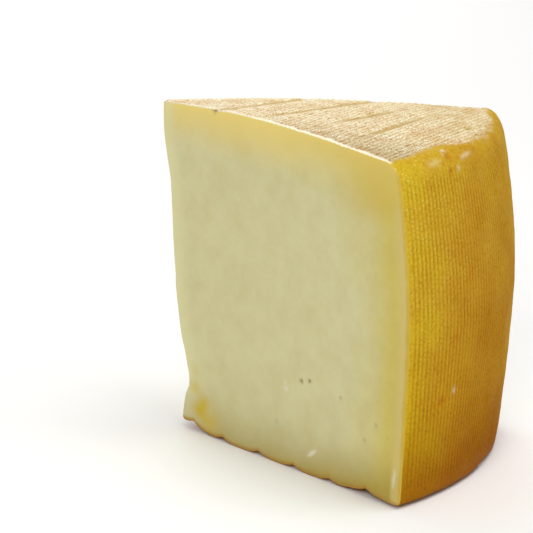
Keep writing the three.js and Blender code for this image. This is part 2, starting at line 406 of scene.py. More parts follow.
@dataclass
class CheeseWedge:
    """The wedge itself: one closed mesh with paste on the cuts and rind everywhere else."""

    wheel: Wheel = Wheel()
    rack: RackPrint = RackPrint()
    cloth: ClothPrint = ClothPrint()
    # Where the wheel's axis stands in the row's frame
    axis: tuple[float, float] = (-51.06, 1.13)
    # The mesh: its strips, the share of a face that an edge's round takes, and where faces are split finer
    steps_out: int = 84
    steps_up: int = 80
    height_digits: int = 5
    edge_round_percent: float = 45.0
    columns_per_rib: int = 4
    crown_down: float = 1.5
    rim_heights: tuple[float, float] = (1.0, 92.0)
    rim_band: float = 10.0
    rim_draw: tuple[float, float] = (40.0, 93.0)
    mark_margin: tuple[float, float] = (1.2, 0.7)
    mark_edge: float = 0.35
    base_skin: float = 2.0
    groove_snap: float = 0.05
    # The heights where the base's lift ends and the top's swell starts, and the skin's unevenness
    base_fade: float = 15.0
    swell_from: float = 60.0
    wire_wave: float = 0.22
    wire_wave_length: float = 22.0
    wire_wave_stretch: float = 0.4
    unevenness: tuple[tuple[float, float], ...] = ((0.10, 4.5), (0.05, 1.6))
    # How much a distance from the top or the base counts beside one from the rim, and the rim's share
    yellow_down: tuple[float, float] = (1.55, 0.08)
    yellow_up: tuple[float, float] = (2.5, 0.2)
    least_depth: float = 0.05
    # The pale top's border: an angle in degrees, and the distance from the axis there
    crown_border: tuple[tuple[float, float], ...] = (
        (-27, 91.6), (-20, 90.2), (-15, 88.4), (-9.4, 88.5), (-5.9, 91.7), (3, 93.4), (15.6, 93.1),
        (27, 92.0),
    )
    crown_ragged: float = 1.1
    crown_ragged_spread: float = 2.2
    crown_from: tuple[float, float] = (89.5, 92.5)
    pits: tuple[Mark, ...] = (
        Mark(61.6, 0, 26.0, 0.62, -0.55, 0.75), Mark(64.8, 0, 26.8, 0.5, -0.6, 0.95),
        Mark(77.3, 0, 25.1, 0.5, -0.35, 0.35), Mark(91.2, 0, 21.1, 0.6, -0.4, 0.3),
        Mark(87.3, 0, 15.9, 0.5, -0.35, 0.3), Mark(55.7, 0, 22.2, 0.8, -0.25, tint=-0.6),
        Mark(55.2, 0, 24.0, 0.7, -0.2, tint=-0.5), Mark(41.0, 0, 58.5, 0.5, -0.3, 0.1, -0.3),
        Mark(33.5, 0, 71.0, 0.5, -0.25, tint=-0.4), Mark(70.0, 0, 50.0, 0.5, -0.25, 0.05, -0.3),
        Mark(52.0, 0, 12.0, 0.6, -0.3, 0.1), Mark(21.2, 0.1, 93.3, 0.75, -1.1, 1.0, run=(1.6, 0.2, 0.0)),
        Mark(65.4, 0, 5.4, 0.6, -0.35, tint=-0.9, run=(3.0, 0.0, 2.3)),
        Mark(99.0, 0, 5.2, 0.6, -0.2, tint=-0.5, run=(0.4, 0.0, 5.4)),
    )
    patches: tuple[Mark, ...] = (
        Mark(19.6, 0, 5.6, 2.5, tint=0.95), Mark(21.6, 0, 9.0, 2.3, tint=0.8),
        Mark(17.6, 0, 13.0, 2.1, tint=0.55), Mark(23.5, 0, 3.2, 2.8, tint=0.6),
        Mark(26.5, 0, 5.0, 3.4, tint=0.35), Mark(17.4, 0, 18.0, 2.0, tint=0.3),
    )
    rim_marks: tuple[Mark, ...] = (
        on_wheel(97, -8.9, 75.2, 1.3, -0.15, 0.7), on_wheel(100, -10.6, 61.2, 1.4, -0.15, 0.75),
        on_wheel(102, -8.7, 40.5, 1.2, -0.1, 0.6), on_wheel(102, -15.4, 44.6, 1.1, -0.1, 0.4),
        on_wheel(101.5, -18.1, 27.7, 1.5, -0.1, 0.8), on_wheel(101.5, -15.1, 29.6, 0.9, tint=-0.5),
        on_wheel(93.8, -12.6, 92.3, 1.9, -0.35, 0.55),
        # The crumple and the fold on the shoulder: where the tint is below zero, their pale marks are
        # painted glints and highlights
        on_wheel(92.0, -12.9, 93.3, 0.7, 0.55, tint=-0.95, turn_on=0.8),
        on_wheel(93.0, -13.4, 92.6, 0.5, 0.3, tint=-0.5),
        on_wheel(94.6, -11.0, 91.2, 0.8, 0.3, 0.35, turn_on=1.2),
        on_wheel(94.6, -18.8, 91.2, 1.1, 0.2, tint=-0.2, turn_on=3.6, climb=0.8),
        on_wheel(95.9, -13.4, 88.6, 0.8, -0.3, 0.8), on_wheel(95.9, -11.2, 88.6, 0.7, 0.25, tint=-0.4),
        on_wheel(96.3, -13.9, 87.2, 0.9, -0.2, 0.4), on_wheel(94.6, -14.9, 90.4, 0.8, -0.2, 0.4),
        on_wheel(92.4, -10.6, 92.8, 0.8, 0.3, 0.25),
        # Dents on the top, where the tint above zero paints olive shade into them
        on_wheel(88.0, 5.6, 93.6, 0.9, -0.6, tint=0.9, turn_on=2.6),
        on_wheel(90.4, 9.4, 93.3, 0.7, -0.3, tint=0.5, turn_on=1.6),
        on_wheel(95.2, -9.8, 90.9, 0.7, 0.42, tint=-0.6, turn_on=5.4, climb=1.1),
        on_wheel(101, 12.0, 55.0, 1.6, -0.15, 0.6), on_wheel(102, 19.0, 33.0, 1.4, -0.1, 0.5),
        on_wheel(99, 4.5, 68.0, 1.2, -0.1, 0.4), on_wheel(101.4, -3.0, 22.0, 1.3, -0.1, 0.4),
    )

    def __post_init__(self) -> None:
        """Adds the cuts, which need the wheel's sizes."""
        self.cuts = Cuts(self.wheel)

    def build(self, materials: list[bpy.types.Material]) -> bpy.types.Object:
        """Models the wedge.

        Args:
            materials: The finishes, in the order of Skin.

        Returns:
            The finished object, at the origin of the row's frame.
        """
        bm = self.block()
        self.shape(bm)
        self.soften_edges(bm)
        self.split_faces(bm)
        self.split_round_marks(bm)
        self.mark_grooves(bm)
        self.relief(bm)
        self.settle(bm)
        mesh = bpy.data.meshes.new("cheese_wedge_body")
        bm.to_mesh(mesh)
        bm.free()
        for material in materials:
            mesh.materials.append(material)
        mesh.shade_smooth()
        piece = bpy.data.objects.new("cheese_wedge_body", mesh)
        bpy.context.scene.collection.objects.link(piece)
        return piece

    def block(self) -> bmesh.types.BMesh:
        """Returns a unit cube split into even strips along each of its three directions."""
        bm = bmesh.new()
        bmesh.ops.create_cube(bm, size=1.0, matrix=Matrix.Translation((0.5, 0.5, 0.5)))
        counts = (self.steps_out, self.cloth.ribs, self.steps_up)
        for axis, count in enumerate(counts):
            edges = [e for e in bm.edges if abs(e.verts[0].co[axis] - e.verts[1].co[axis]) > 1 - SAME]
            bmesh.ops.subdivide_edges(bm, edges=edges, cuts=count - 1, use_grid_fill=True)
        for face in bm.faces:
            centre = face.calc_center_median()
            cut = min(centre.x, centre.y, 1 - centre.y) < SAME
            face.material_index = Skin.PASTE if cut else Skin.RIND
            face.smooth = True
        return bm

    def shape(self, bm: bmesh.types.BMesh) -> None:
        """Moves the block's vertices onto the wedge, with its shoulder and heel rounded."""
        across = bm.verts.layers.float.new("across")
        wheel = self.wheel
        sections: dict[float, Section] = {}
        for vert in bm.verts:
            a, b, c = vert.co
            out = (1 - a) * wheel.radius
            height = c * wheel.top_height
            vert[across] = b
            if c > 0.5:
                out, down = self.round_corner(out, wheel.top_height - height, wheel.shoulder_radius)
                height = wheel.top_height - down
            else:
                out, height = self.round_corner(out, height, wheel.heel_radius)
            key = round(height, self.height_digits)
            if key not in sections:
                sections[key] = self.cuts.section(height)
            place = sections[key].point(1 - out / wheel.radius, b)
            vert.co = (place.x, place.y, height)

    @staticmethod
    def round_corner(first: float, second: float, radius: float) -> tuple[float, float]:
        """Turns a square corner into a round one.

        Args:
            first: Distance from one of the corner's two faces.
            second: Distance from the other.
            radius: How large the round is.

        Returns:
            The two distances once the corner is round.
        """
        x, y = clamp(1 - first / radius), clamp(1 - second / radius)
        if x <= 0 or y <= 0:
            return first, second
        scale = max(x, y) / math.hypot(x, y)
        return radius * (1 - x * scale), radius * (1 - y * scale)

    def soften_edges(self, bm: bmesh.types.BMesh) -> None:
        """Rounds the edges between the cuts and the rind, which a wire leaves a little soft."""
        # The bevel goes by the faces' directions, and shape has turned the faces
        bm.normal_update()
        edges = [e for e in bm.edges if len({f.material_index for f in e.link_faces}) == 2]
        bmesh.ops.bevel(
            bm, geom=edges, offset=self.edge_round_percent, offset_type="PERCENT", affect="EDGES",
            segments=3, profile=0.5, material=-1,
        )

    def split_faces(self, bm: bmesh.types.BMesh) -> None:
        """Splits the rind's columns, so that each rib and each row has a crest, a valley and flanks."""
        layer = bm.verts.layers.float["across"]
        column = 1 / self.cloth.ribs
        high = self.wheel.top_height - self.crown_down
        rind = [f for f in bm.faces if f.material_index == Skin.RIND]
        crown = {f for f in rind if f.calc_center_median().z > high}
        rim = [f for f in rind if f not in crown and self.on_rim(f.calc_center_median())]

        # An edge that turns by half a column or more runs across, and one that hardly turns runs outward
        wide = {e for f in rim for e in f.edges if self.turns(e, layer) > 0.5 * column}
        turned = {e for f in crown for e in f.edges if self.turns(e, layer) > 0.5 * column}
        bmesh.ops.subdivide_edges(bm, edges=list(wide), cuts=self.columns_per_rib - 1, use_grid_fill=True)
        whole = [e for e in turned - wide if e.is_valid]
        bmesh.ops.subdivide_edges(bm, edges=whole, cuts=1, use_grid_fill=True)
        shortest = 0.7 * self.wheel.radius / self.steps_out
        faces = [f for f in bm.faces if f.material_index == Skin.RIND and f.calc_center_median().z > high]
        outward = {
            e for f in faces for e in f.edges
            if self.turns(e, layer) < 0.15 * column and e.calc_length() > shortest
        }
        bmesh.ops.subdivide_edges(bm, edges=list(outward), cuts=2, use_grid_fill=True)

    @staticmethod
    def turns(edge: bmesh.types.BMEdge, layer: bmesh.types.BMLayerItem) -> float:
        """Returns how far an edge goes from cut to cut, as a share of the whole way."""
        return abs(edge.verts[0][layer] - edge.verts[1][layer])

    def split_round_marks(self, bm: bmesh.types.BMesh) -> None:
        """Splits the faces round each small mark, so that it can be round."""
        share, margin = self.mark_margin
        for mark in self.pits + self.rim_marks:
            reach = share * mark.size + margin
            near = [f for f in bm.faces if mark.distance(f.calc_center_median()) < reach]
            edges = {e for f in near for e in f.edges if e.calc_length() > self.mark_edge}
            bmesh.ops.subdivide_edges(bm, edges=list(edges), cuts=2, use_grid_fill=True)

    def on_rim(self, point: Vector) -> bool:
        """Returns whether a point of the rind lies on the rim, and not on the top or the base."""
        inside = self.wheel.radius - math.hypot(point.x, point.y)
        drawn_in = self.wheel.top_draw_in[0] * ease(point.z, *self.rim_draw)
        low, high = self.rim_heights
        return inside < self.rim_band + drawn_in and low < point.z < high

    def mark_grooves(self, bm: bmesh.types.BMesh) -> None:
        """Cuts the base's faces along the deepest lines of its grooves."""
        for along in self.rack.notches:
            faces = [f for f in bm.faces if f.calc_center_median().z < self.base_skin]
            edges = {e for f in faces for e in f.edges}
            verts = {v for f in faces for v in f.verts}
            bmesh.ops.bisect_plane(
                bm, geom=[*faces, *edges, *verts], dist=self.groove_snap, plane_co=(along, 0, 0),
                plane_no=(1, 0, 0),
            )

    def relief(self, bm: bmesh.types.BMesh) -> None:
        """Adds what the press, the rack, the cloth and the wire did, and notes it for the finishes."""
        names = (
            "across", "crown", "crease", "ribbed", "stain", "tint", "rind_depth", "rim_depth",
            "base_depth", "tip_depth", "cut_depth",
        )
        floats = bm.verts.layers.float
        layers = {name: floats.get(name) or floats.new(name) for name in names}
        bm.normal_update()
        steps = []
        for vert in bm.verts:
            point = vert.co.copy()
            on_rind = any(f.material_index == Skin.RIND for f in vert.link_faces)
            place = self.place(point, on_rind)
            marks = [(m, m.reach(point)) for m in self.pits + self.patches + self.rim_marks]
            place["stain"] = clamp(sum(m.stain * reach for m, reach in marks))
            place["tint"] = clamp(sum(m.tint * reach for m, reach in marks), -1.0, 1.0)
            for name, layer in layers.items():
                vert[layer] = place[name]
            mark_rise = sum(m.rise * reach for m, reach in marks)
            steps.append(self.step(point, vert.normal, place, mark_rise))
        for vert, step in zip(bm.verts, steps):
            vert.co += step

    def place(self, point: Vector, on_rind: bool) -> dict[str, float]:
        """Measures where a point of the plain wedge is.

        Args:
            point: The point, along, across and up.
            on_rind: Whether it is on the rind.

        Returns:
            The value of each vertex layer by name, without the marks.
        """
        r = math.hypot(point.x, point.y)
        turned = math.atan2(point.y, point.x)
        angle = turned - self.wheel.angle / 2
        section = self.cuts.section(point.z)
        way = section.direction.normalized()
        off = point.xy - section.apex
        beside = max(0.0, min(point.y, way.y * off.x - way.x * off.y))
        out = self.wheel.rim_radius(point.z, angle) - r
        return {
            "across": turned / section.sweep,
            "crown": self.crown(point, r, math.degrees(angle)) if on_rind else 0.0,
            "crease": self.rack.crease(point.x, point.y) * ease(point.z, *self.rack.crease_from),
            "ribbed": self.cloth.rib_share(point, out, beside),
            "rind_depth": self.nearest_rind(out, self.wheel.top_height - point.z, point.z),
            "rim_depth": max(0.0, out),
            "base_depth": point.z,
            "tip_depth": (point.xy - section.nose(0.5)).length,
            "cut_depth": beside,
        }

    def nearest_rind(self, out: float, down: float, up: float) -> float:
        """Works out how far the paste's yellow edge has faded.

        Args:
            out: Distance from the rim.
            down: Distance from the top.
            up: Distance from the base.

        Returns:
            Roughly the distance from the nearest rind. The top and the base count for less far from the
            rim, and a corner counts for more than its two sides.
        """
        out, down = max(self.least_depth, out), max(self.least_depth, down)
        below_top = self.yellow_down[0] * down + self.yellow_down[1] * out
        above_base = self.yellow_up[0] * up + self.yellow_up[1] * out
        return sum(distance ** -2 for distance in (out, below_top, above_base)) ** -0.5

    def step(self, point: Vector, normal: Vector, place: dict[str, float], mark_rise: float) -> Vector:
        """Works out how far a vertex moves from the plain wedge to the real one.

        Args:
            point: Where the vertex is, along, across and up.
            normal: Which way its skin faces.
            place: The vertex's measured layers.
            mark_rise: How far its marks stand out.

        Returns:
            The whole move.
        """
        wheel, rack, cloth = self.wheel, self.rack, self.cloth
        r = math.hypot(point.x, point.y)
        angle = math.atan2(point.y, point.x) - wheel.angle / 2
        groove = rack.groove(point.x) * (1 - ease(point.z, 0, rack.notch_fade))
        rise = (wheel.lift(r, angle) + groove) * (1 - ease(point.z, 0, self.base_fade))
        rise += wheel.swell(r, angle) * ease(point.z, self.swell_from, wheel.top_height)
        rise -= rack.crease_depth * place["crease"]
        steady, varied = cloth.row_press
        press = steady + varied * noise.noise(point / cloth.row_press_spread)
        rise += 0.5 * cloth.row_height * press * place["crown"] * cloth.row(point.x, point.y)
        rib = 0.5 * cloth.rib_height * place["ribbed"] * cloth.rib(place["across"])
        uneven = sum(height * noise.noise(point / spread) for height, spread in self.unevenness)
        along_wire = Vector((point.x, point.y * self.wire_wave_stretch, point.z))
        wave = self.wire_wave * noise.noise(along_wire / self.wire_wave_length)
        outward = Vector((point.x, point.y, 0)).normalized()
        return Vector((0, wave, rise)) + outward * rib + normal * (mark_rise + uneven)

    def crown(self, point: Vector, r: float, degrees: float) -> float:
        """Works out where the pale, cloth-marked top is, inside its ragged border.

        Args:
            point: The place, along, across and up.
            r: Its distance from the wheel's axis.
            degrees: Its angle.

        Returns:
            1 on the pale top, and 0 on the smooth shoulder and the rim.
        """
        line = self.crown_border
        i = next((k for k in range(1, len(line)) if degrees <= line[k][0]), len(line) - 1)
        (t0, r0), (t1, r1) = line[i - 1], line[i]
        border = lerp(r0, r1, clamp((degrees - t0) / (t1 - t0)))
        border += self.crown_ragged * noise.noise(point / self.crown_ragged_spread)
        return ease(border - r, -self.crown_ragged, self.crown_ragged) * ease(point.z, *self.crown_from)

    def settle(self, bm: bmesh.types.BMesh) -> None:
        """Turns the wedge from the first cut's axes to the row's frame, and to metres."""
        turn = Matrix.Rotation(-self.wheel.angle / 2, 4, "Z")
        shift = Matrix.Translation((*self.axis, 0))
        bmesh.ops.transform(bm, matrix=Matrix.Scale(MM, 4) @ shift @ turn, verts=bm.verts[:])
        bmesh.ops.recalc_face_normals(bm, faces=bm.faces[:])
        log.info("wedge: %d triangles", sum(len(f.verts) - 2 for f in bm.faces))


def add_node(tree: Tree, kind: str, settings: dict | None = None, links: dict | None = None) -> Outputs:
    """Adds one shader node.

    Args:
        tree: The material's node tree.
        kind: The node's type name, without its first words.
        settings: Attribute names, or socket names and numbers, and their values. "stops" gives a colour
            ramp's places and sRGB hex colours.
        links: Socket names or numbers, and the output sockets that feed them.

    Returns:
        The new node's outputs.
    """
    node = tree.nodes.new("ShaderNode" + kind)
    for name, value in (settings or {}).items():
        if name == "stops":
            while len(node.color_ramp.elements) < len(value):
                node.color_ramp.elements.new(0.5)
            for element, (place, colour) in zip(node.color_ramp.elements, value):
                element.position, element.color = place, linear(colour)
        elif isinstance(name, str) and hasattr(node, name):
            setattr(node, name, value)
        else:
            node.inputs[name].default_value = value
    for name, source in (links or {}).items():
        tree.links.new(source, node.inputs[name])
    return node.outputs


def new_material(
    name: str, settings: dict[str, float | tuple[float, ...]],
) -> tuple[bpy.types.Material, Tree, bpy.types.Node]:
    """Makes a material.

    Args:
        name: The real material's name.
        settings: The values of its surface shader that are the same all over, by socket.

    Returns:
        The material, its node tree and its surface shader.
    """
    material = bpy.data.materials.new(name)
    material.use_nodes = True
    tree = material.node_tree
    shader = tree.nodes["Principled BSDF"]
    for socket, value in settings.items():
        shader.inputs[socket].default_value = value
    return material, tree, shader


class Blend(Enum):
    """How a coat covers what is under it."""

    OVER = "MIX"
    DARKEN = "MULTIPLY"


@dataclass(frozen=True)
class Fade:
    """A value that changes from first to last between two places, smoothly unless it is straight."""

    start: float
    end: float
    first: float = 0.0
    last: float = 1.0
    straight: bool = False

    def settings(self) -> dict:
        """Returns the settings of the node that gives the value."""
        kind = "LINEAR" if self.straight else "SMOOTHSTEP"
        return {"interpolation_type": kind, 1: self.start, 2: self.end, 3: self.first, 4: self.last}


# A measure as it is above zero, and how far it is below zero
AS_MEASURED = Fade(0.0, 2.0, 0.0, 2.0, straight=True)
BELOW_ZERO = Fade(0.0, -1.0, straight=True)


@dataclass(frozen=True)
class Coat:
    """A colour laid over another, as strongly as its fades say together, each by a named measure."""

    colour: str
    fades: dict[str, Fade]
    blend: Blend = Blend.OVER


def lay_coats(tree: Tree, colour: Socket, coats: tuple[Coat, ...], measures: Measures) -> Socket:
    """Lays coats over a colour.

    Args:
        tree: The material's node tree.
        colour: The colour under the first coat.
        coats: The coats, from the lowest up.
        measures: What the fades go by.

    Returns:
        The colour that shows in the end.
    """
    for coat in coats:
        share = None
        for name, fade in coat.fades.items():
            value = add_node(tree, "MapRange", fade.settings(), {0: measures[name]})[0]
            if share is not None:
                value = add_node(tree, "Math", {"operation": "MULTIPLY"}, {0: share, 1: value})[0]
            share = value
        settings = {"data_type": "RGBA", "blend_type": coat.blend.value, 7: linear(coat.colour)}
        colour = add_node(tree, "Mix", settings, {0: share, 6: colour})[2]
    return colour


@dataclass(frozen=True)
class PressedPaste:
    """Firm pressed curd, slightly translucent and oily, as a cutting wire leaves it.

    It gives an ivory heart that yellows towards the rind, faint cloudy mottling and a soft, waxy gleam.
    Depths are in millimetres, and up in metres.
    """

    heart: str = "#d0ca9a"
    inner: str = "#cec486"
    band: str = "#cbbb61"
    heart_depth: float = 32.0
    clouding: tuple[float, float] = (0.8, 0.6)
    ragged: float = 1.6
    roughness: tuple[float, float] = (0.42, 0.6)
    coats: tuple[Coat, ...] = (
        # Mottling
        Coat("#f7f4ea", {"mottle": Fade(0.32, 0.62, 1.0, 0.0, straight=True)}, Blend.DARKEN),
        # Butter yellow in the corner between the top and the rim
        Coat("#cdb149", {"up": Fade(0.072, 0.084), "rim_depth": Fade(10.0, 30.0, 0.6, 0.0)}),
        # Painted light and shade: a painted glow under the top, painted light along the pale thin edge, and
        # painted shade on the foot
        Coat("#e7d07c", {
            "up": Fade(0.08, 0.095, 0.0, 0.85), "rim_depth": Fade(5.0, 50.0, 0.3, 1.0, straight=True),
        }),
        Coat("#d9d6a4", {"tip_depth": Fade(2.0, 8.5, 0.65, 0.0)}),
        Coat("#d3c69c", {
            "up": Fade(-0.004, 0.018, 1.0, 0.0), "rim_depth": Fade(15.0, 75.0, 1.0, 0.6, straight=True),
        }, Blend.DARKEN),
        # The rind seen edge on: a beige strip and a golden skin at the rim, a brown line at the base
        Coat("#cbb86e", {"rim_depth": Fade(4.6, 2.8, 0.0, 0.8), "up": Fade(0.088, 0.076)}),
        Coat("#bb9d33", {"ragged": Fade(0.9, 2.4, 0.95, 0.0)}),
        Coat("#ad7f2c", {"base_depth": Fade(0.3, 1.7, 0.85, 0.0)}),
        # Yellow patches; bleached flecks and scratches, with a painted highlight along the scratches; and
        # pits, whose brown is deepened as painted shade in the hollows
        Coat("#c9ad20", {"tint": AS_MEASURED}),
        Coat("#e6e0c6", {"tint": BELOW_ZERO}),
        Coat("#80661a", {"stain": AS_MEASURED}),
    )

    def build(self) -> bpy.types.Material:
        """Returns the material."""
        material, tree, shader = new_material("pressed_curd_paste", {
            "IOR": 1.45, "Specular IOR Level": 0.35, "Subsurface Weight": 0.4,
            "Subsurface Radius": (0.005, 0.0035, 0.0015), "Subsurface Scale": 1.0,
        })
        place = add_node(tree, "TexCoord")["Object"]
        names = ("rind_depth", "rim_depth", "base_depth", "tip_depth", "stain", "tint")
        measures = {name: add_node(tree, "Attribute", {"attribute_name": name})["Fac"] for name in names}
        measures["up"] = add_node(tree, "SeparateXYZ", links={0: place})[2]

        # Clouds 18 mm across and mottling 8 mm across
        clouds = add_node(tree, "TexNoise", {"Scale": 55.0, "Detail": 3.0}, {"Vector": place})
        mottle = add_node(
            tree, "TexNoise", {"Scale": 130.0, "Detail": 5.0, "Roughness": 0.62}, {"Vector": place},
        )[0]
        measures["mottle"] = mottle
        measures["ragged"] = add_node(
            tree, "Math", {"operation": "MULTIPLY_ADD", 1: self.ragged},
            {0: mottle, 2: measures["rim_depth"]},
        )[0]

        # Ivory heart, yellow towards the rind, with clouds in the border between them
        varied, steady = (share / self.heart_depth for share in self.clouding)
        drift = add_node(tree, "Math", {"operation": "MULTIPLY_ADD", 1: varied, 2: steady}, {0: clouds[0]})
        deep = add_node(tree, "Math", {"operation": "MULTIPLY"}, {0: measures["rind_depth"], 1: drift[0]})
        bands = add_node(
            tree, "ValToRGB", {"stops": [(0.2, self.band), (0.38, self.inner), (0.66, self.heart)]},
            {0: deep[0]},
        )
        colour = lay_coats(tree, bands[0], self.coats, measures)
        tree.links.new(colour, shader.inputs["Base Color"])

        # Curd grain, 1.2 mm, and a gleam that varies with the mottling
        grain = add_node(tree, "TexNoise", {"Scale": 850.0, "Detail": 3.0}, {"Vector": place})
        bump = add_node(tree, "Bump", {"Strength": 0.35, "Distance": 0.0002}, {"Height": grain[0]})
        tree.links.new(bump[0], shader.inputs["Normal"])
        low, high = self.roughness
        gloss = add_node(tree, "MapRange", {3: low, 4: high}, {0: mottle})
        tree.links.new(gloss[0], shader.inputs["Roughness"])
        return material


@dataclass(frozen=True)
class SmokedRind:
    """Smoked natural rind, rubbed with fat until it gleams, with the mould cloth's weave pressed into it.

    It gives a clear amber that darkens where the smoke caught, with a painted golden glow beside the first
    cut and painted shade away from it and lower down, oiled ribs with painted shade in their valleys and
    painted glints on their beads, and a paler, gritty top with painted glints and painted shade in its
    grit.
    Depths are in millimetres, and side and up in metres.
    """

    cloth: ClothPrint = ClothPrint()
    bead_pitch: float = 1.3
    bead_slip: float = 9.0
    bead_light: float = 0.45
    bead_relief: float = 0.25
    gold: str = "#cdb029"
    amber: str = "#c59928"
    smoke: str = "#b68212"
    # The gold beside the first cut is a painted glow of light through the rind; the darker amber away from
    # it and lower down is partly smoke and partly painted shade
    second_cut: Fade = Fade(0.0, 0.025, 0.0, 22.0, straight=True)
    smoke_shade_and_cut_glow: Fade = Fade(0.0, 32.0, 0.0, 0.42, straight=True)
    smoke_and_shade_by_height: Fade = Fade(0.04, 0.09, 1.0, 0.6, straight=True)
    smoke_clouds: float = 0.6
    specks_and_hollow_shade: str = "#a28038"
    grit: str = "#cbb27a"
    cream: str = "#deca96"
    cream_highlight: str = "#ecddb6"
    glint: str = "#fdf8e6"
    row_slack: float = 0.002
    row_share: float = 0.05
    coarseness: Fade = Fade(-0.03, 0.03, 1.9, 0.95, straight=True)
    crumb_and_highlight_ragged: float = -3.0
    roughness: tuple[float, float] = (0.6, 0.34)
    rim_coats: tuple[Coat, ...] = (
        # Painted shade in the valleys between the ribs, and a fine speckle
        Coat("#dfc898", {
            "rib": Fade(-1.0, 0.6, 0.75, 0.0, straight=True), "ribbed": AS_MEASURED,
        }, Blend.DARKEN),
        Coat("#eedfc4", {"fine": Fade(0.34, 0.52, 0.8, 0.0, straight=True)}, Blend.DARKEN),
        # Painted glints where fat on the beads catches the light, most beside the cuts and high up
        Coat("#f0dc8a", {
            "lit": Fade(0.72, 1.05, 0.0, 0.65, straight=True), "up": Fade(0.035, 0.085, 0.1, 1.0),
            "patchy": Fade(0.44, 0.66, 0.1, 1.0, straight=True),
            "cut_depth": Fade(2.0, 26.0, 0.9, 0.12, straight=True),
        }),
        # Painted shade, darker towards the base: a browner heel and a deeper colour over the lower half
        Coat("#c99f5a", {"up": Fade(-0.006, 0.034, 1.0, 0.0)}, Blend.DARKEN),
        Coat("#fff9a0", {"up": Fade(0.005, 0.065, 1.0, 0.0)}, Blend.DARKEN),
    )
    top_coats: tuple[Coat, ...] = (
        # Scorched patches, and darker towards the first cut
        Coat("#efdcc0", {"patchy": Fade(0.36, 0.56, 1.0, 0.0, straight=True)}, Blend.DARKEN),
        Coat("#d9d0ba", {"side": Fade(-0.008, -0.036)}, Blend.DARKEN),
        # The creases, coloured partly as painted shade, and the pale crumbs along the cuts, with a painted
        # highlight along the first cut's edge
        Coat("#bf9e58", {"frayed": Fade(0.1, 0.5, straight=True)}),
        Coat("#f2ead0", {
            "ragged": Fade(-0.9, 0.3, 1.0, 0.0), "side": Fade(0.0, -0.02, 0.45, 1.0, straight=True),
        }),
    )
    mark_coats: tuple[Coat, ...] = (
        # Olive where the tint is above zero: painted shade in the top's dents
        Coat("#b39a3c", {"tint": AS_MEASURED}),
        # Pale where the tint is below zero: painted glints and highlights on the shoulder's crumple and
        # fold
        Coat("#f2ead0", {"tint": BELOW_ZERO}),
        Coat("#b0640f", {"stain": AS_MEASURED}),
    )

    def build(self) -> bpy.types.Material:
        """Returns the material."""
        material, tree, shader = new_material("smoked_rind", {
            "IOR": 1.45, "Specular IOR Level": 0.04, "Subsurface Weight": 0.2,
            "Subsurface Radius": (0.004, 0.002, 0.0005), "Subsurface Scale": 1.0,
        })
        place = add_node(tree, "TexCoord")["Object"]
        names = ("across", "cut_depth", "crown", "crease", "ribbed", "stain", "tint")
        measures = {name: add_node(tree, "Attribute", {"attribute_name": name})["Fac"] for name in names}
        axes = add_node(tree, "SeparateXYZ", links={0: place})
        measures["side"], measures["up"] = axes[1], axes[2]

        # Clouds 13 mm across, patches 4 mm across and a speckle under 1 mm
        clouds = add_node(tree, "TexNoise", {"Scale": 75.0, "Detail": 3.0}, {"Vector": place})
        patchy = add_node(tree, "TexNoise", {"Scale": 230.0, "Detail": 3.0}, {"Vector": place})[0]
        fine = add_node(tree, "TexNoise", {"Scale": 1150.0, "Detail": 2.0}, {"Vector": place})[0]
        measures["patchy"], measures["fine"] = patchy, fine
        bead = self.weave(tree, measures)
        grit = self.grit_rows(tree, place, measures["side"], clouds[1])
        rim = lay_coats(tree, self.rim_colour(tree, measures, clouds[0]), self.rim_coats, measures)
        top = self.top_colour(tree, grit, measures)
        skin = add_node(tree, "Mix", {"data_type": "RGBA"}, {0: measures["crown"], 6: rim, 7: top})
        colour = lay_coats(tree, skin[2], self.mark_coats, measures)
        tree.links.new(colour, shader.inputs["Base Color"])

        # Relief too fine for the mesh: the beads of the rim, and the top's grit, under 1 mm
        weave = add_node(tree, "Mix", {"data_type": "FLOAT"}, {0: measures["crown"], 2: bead, 3: grit})
        relief = add_node(
            tree, "Math", {"operation": "MULTIPLY_ADD", 1: self.bead_relief}, {0: weave[0], 2: fine},
        )
        bump = add_node(tree, "Bump", {"Strength": 0.8, "Distance": 0.00025}, {"Height": relief[0]})
        tree.links.new(bump[0], shader.inputs["Normal"])
        rim_rough, top_rough = self.roughness
        gloss = add_node(tree, "MapRange", {3: rim_rough, 4: top_rough}, {0: measures["crown"]})
        tree.links.new(gloss[0], shader.inputs["Roughness"])
        return material

    def weave(self, tree: Tree, measures: Measures) -> Socket:
        """Makes the ribs, and the beads along them where cords crossed.

        Args:
            tree: The material's node tree.
            measures: What is measured so far. It gains the ribs, and how the beads catch the light.

        Returns:
            The height of the beads, from -1 to 1.
        """
        across = measures["across"]
        ribs = math.pi * self.cloth.ribs
        rib_turn = add_node(tree, "Math", {"operation": "MULTIPLY", 1: 2 * ribs}, {0: across})
        rib = add_node(tree, "Math", {"operation": "COSINE"}, {0: rib_turn[0]})
        half_turn = add_node(tree, "Math", {"operation": "MULTIPLY", 1: ribs}, {0: across})
        half = add_node(tree, "Math", {"operation": "COSINE"}, {0: half_turn[0]})
        slip = add_node(tree, "Math", {"operation": "MULTIPLY", 1: self.bead_slip}, {0: measures["patchy"]})
        climb = add_node(
            tree, "Math", {"operation": "MULTIPLY_ADD", 1: 2 * math.pi / self.bead_pitch / MM},
            {0: measures["up"], 2: slip[0]},
        )
        cross = add_node(tree, "Math", {"operation": "COSINE"}, {0: climb[0]})
        bead = add_node(tree, "Math", {"operation": "MULTIPLY"}, {0: half[0], 1: cross[0]})
        lit = add_node(
            tree, "Math", {"operation": "MULTIPLY_ADD", 1: self.bead_light},
            {0: bead[0], 2: measures["fine"]},
        )
        measures["rib"], measures["lit"] = rib[0], lit[0]
        return bead[0]

